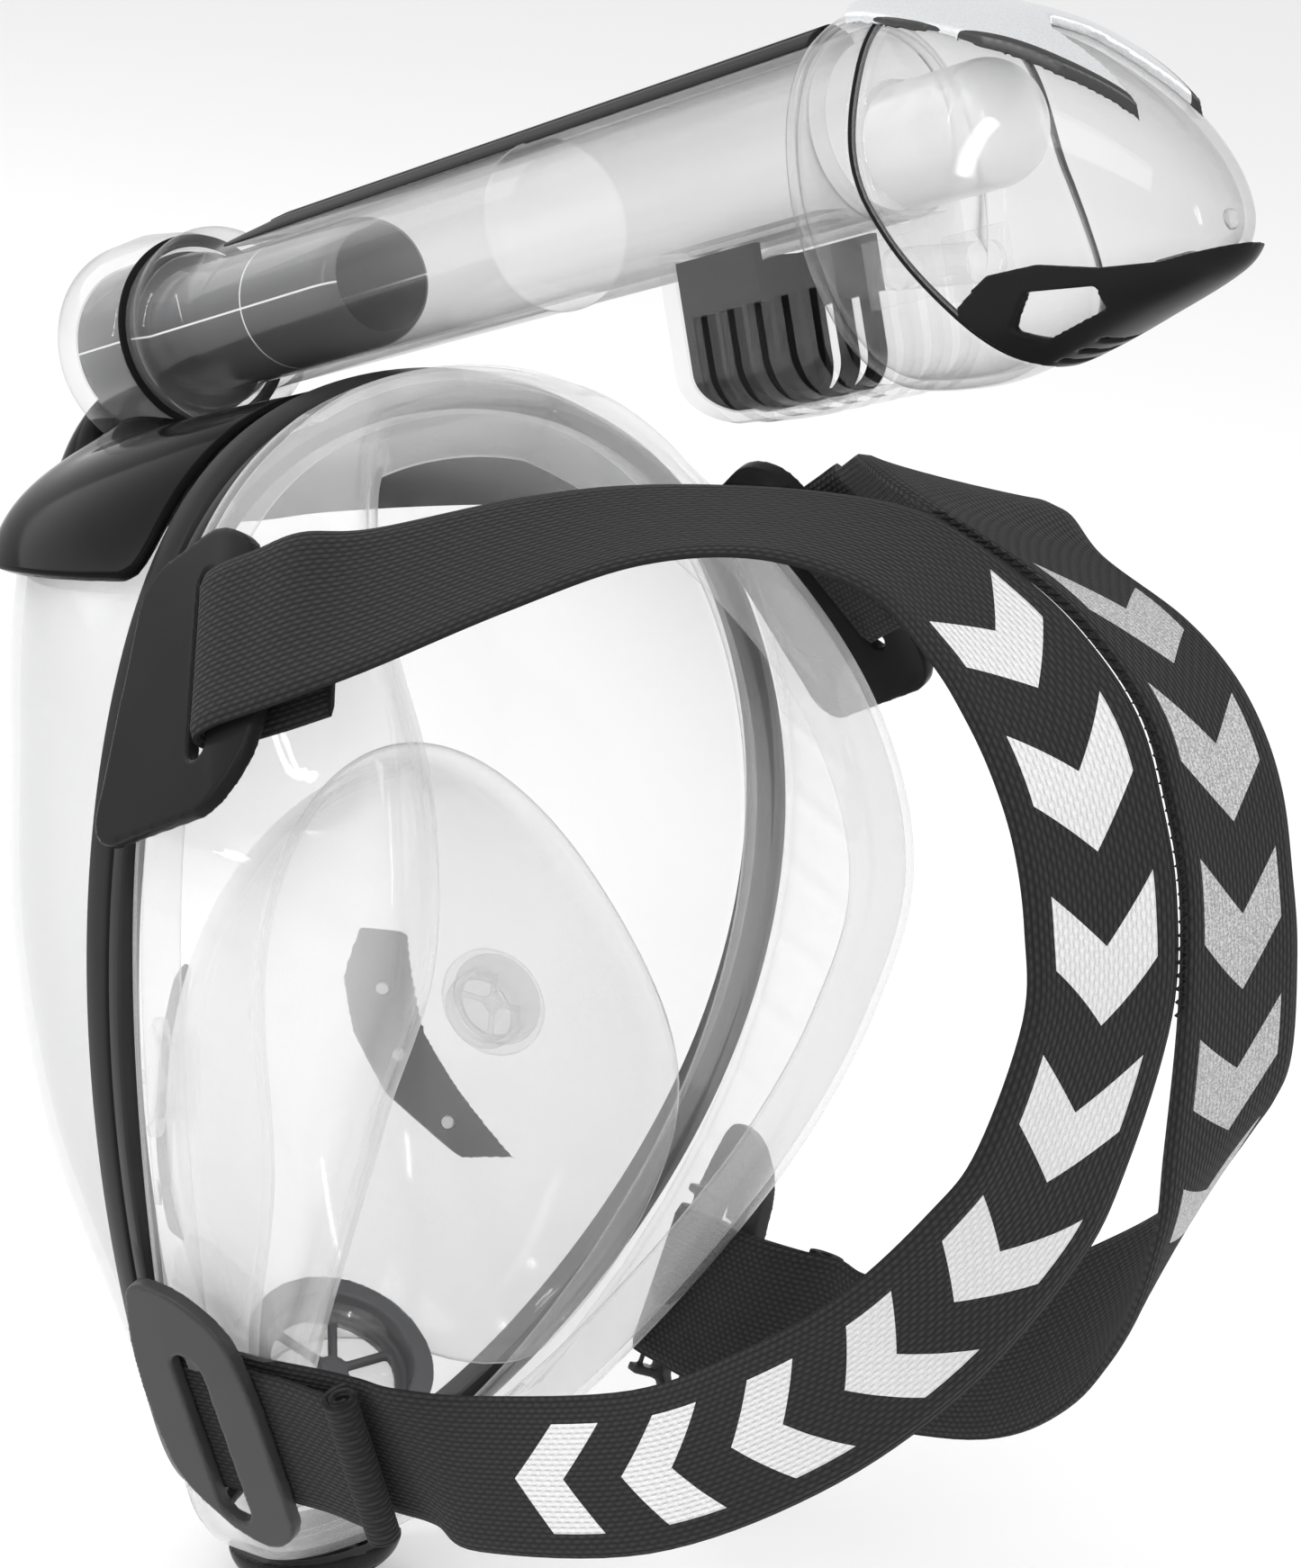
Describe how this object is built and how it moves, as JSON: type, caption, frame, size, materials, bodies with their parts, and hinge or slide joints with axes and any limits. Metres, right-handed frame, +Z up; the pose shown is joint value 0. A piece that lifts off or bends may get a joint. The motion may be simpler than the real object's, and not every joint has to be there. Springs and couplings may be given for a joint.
{
  "type": "full face snorkel mask",
  "caption": "Full face snorkel mask: clear visor and silicone skirt, dry-top snorkel leaning back over the head, and a split elastic head strap.",
  "frame": {"origin": "centre of the face seal ring's width, 9 mm above its middle height, where the ring is furthest forward of the face", "axes": "+X wearer's left, -Y the way the wearer looks, +Z up"},
  "size_m": [0.1948, 0.3548, 0.4024],
  "materials": {
    "clear_pc": "clear moulded plastic, glossy",
    "ring_grey": "dark grey, satin gloss",
    "socket_black": "black, high gloss",
    "tab_black": "near black, semi-gloss with moulded grain",
    "buckle_grey": "satin dark grey",
    "silicone_clear": "clear milky silicone",
    "strip_grey": "dark grey satin",
    "stud_clear": "clear pins",
    "valve_clear": "translucent natural plastic",
    "valve_grey": "mid grey plastic",
    "flap_silicone": "translucent silicone disc",
    "seal_black": "black o-ring",
    "spigot_black": "black, satin gloss",
    "stripe_black": "black overmoulded bar",
    "bar_silver": "fine silver, black edge",
    "trim_black": "black, gloss",
    "liner_black": "black",
    "float_white": "translucent white",
    "webbing_black": "knitted elastic webbing, matte",
    "chin_black": "black, semi-gloss"
  },
  "bodies": {
    "mask": {"visor_lens": "clear_pc", "frame_ring": "ring_grey", "face_skirt": "silicone_clear", "snorkel_socket": "socket_black", "tube_spigot": "spigot_black", "elbow_collar": "clear_pc", "collar_seal_ring": "seal_black", "nose_pocket": "silicone_clear", "retainer_studs": "stud_clear", "chin_valve_housing": "valve_grey", "chin_cover": "chin_black", "upper_tab_left": "tab_black", "upper_tab_right": "tab_black", "lower_buckle_left": "buckle_grey", "lower_buckle_right": "buckle_grey", "head_strap_left": "webbing_black", "head_strap_right": "webbing_black", "strap_hem_left": "webbing_black", "strap_hem_right": "webbing_black", "retainer_strip_left": "strip_grey", "retainer_strip_right": "strip_grey", "pocket_valve_seat_left": "valve_clear", "pocket_valve_seat_right": "valve_clear"},
    "snorkel": {"snorkel_tube": "clear_pc", "tube_stripe": "stripe_black", "vent_block": "clear_pc", "vent_liner": "liner_black", "cap_base": "clear_pc", "cap_gasket": "seal_black", "cap_dome": "clear_pc", "cap_top_bar": "bar_silver", "cap_lower_trim": "trim_black", "float_guide": "valve_clear"},
    "float": {"float_body": "float_white", "float_seal": "flap_silicone"},
    "left_cheek_flap": {"pocket_valve_flap_left": "flap_silicone"},
    "right_cheek_flap": {"pocket_valve_flap_right": "flap_silicone"},
    "chin_flap": {"chin_valve_flap": "flap_silicone"}
  },
  "joints": [
    {"name": "snorkel_pull", "type": "slide", "parent": "mask", "child": "snorkel", "axis": [0, 0.9171, 0.3987], "range_m": [0, 0.045]},
    {"name": "float_slide", "type": "slide", "parent": "snorkel", "child": "float", "axis": [0, 0.9171, 0.3987], "range_m": [0, 0.0045]},
    {"name": "left_cheek_valve", "type": "slide", "parent": "mask", "child": "left_cheek_flap", "axis": [0.9007, -0.4319, 0.0473], "range_m": [0, 0.0015], "stiffness_N_per_m": 60},
    {"name": "right_cheek_valve", "type": "slide", "parent": "mask", "child": "right_cheek_flap", "axis": [-0.9007, -0.4319, 0.0473], "range_m": [0, 0.0015], "stiffness_N_per_m": 60},
    {"name": "chin_valve", "type": "slide", "parent": "mask", "child": "chin_flap", "axis": [0, -0.4202, -0.9074], "range_m": [0, 0.0015], "stiffness_N_per_m": 120}
  ]
}
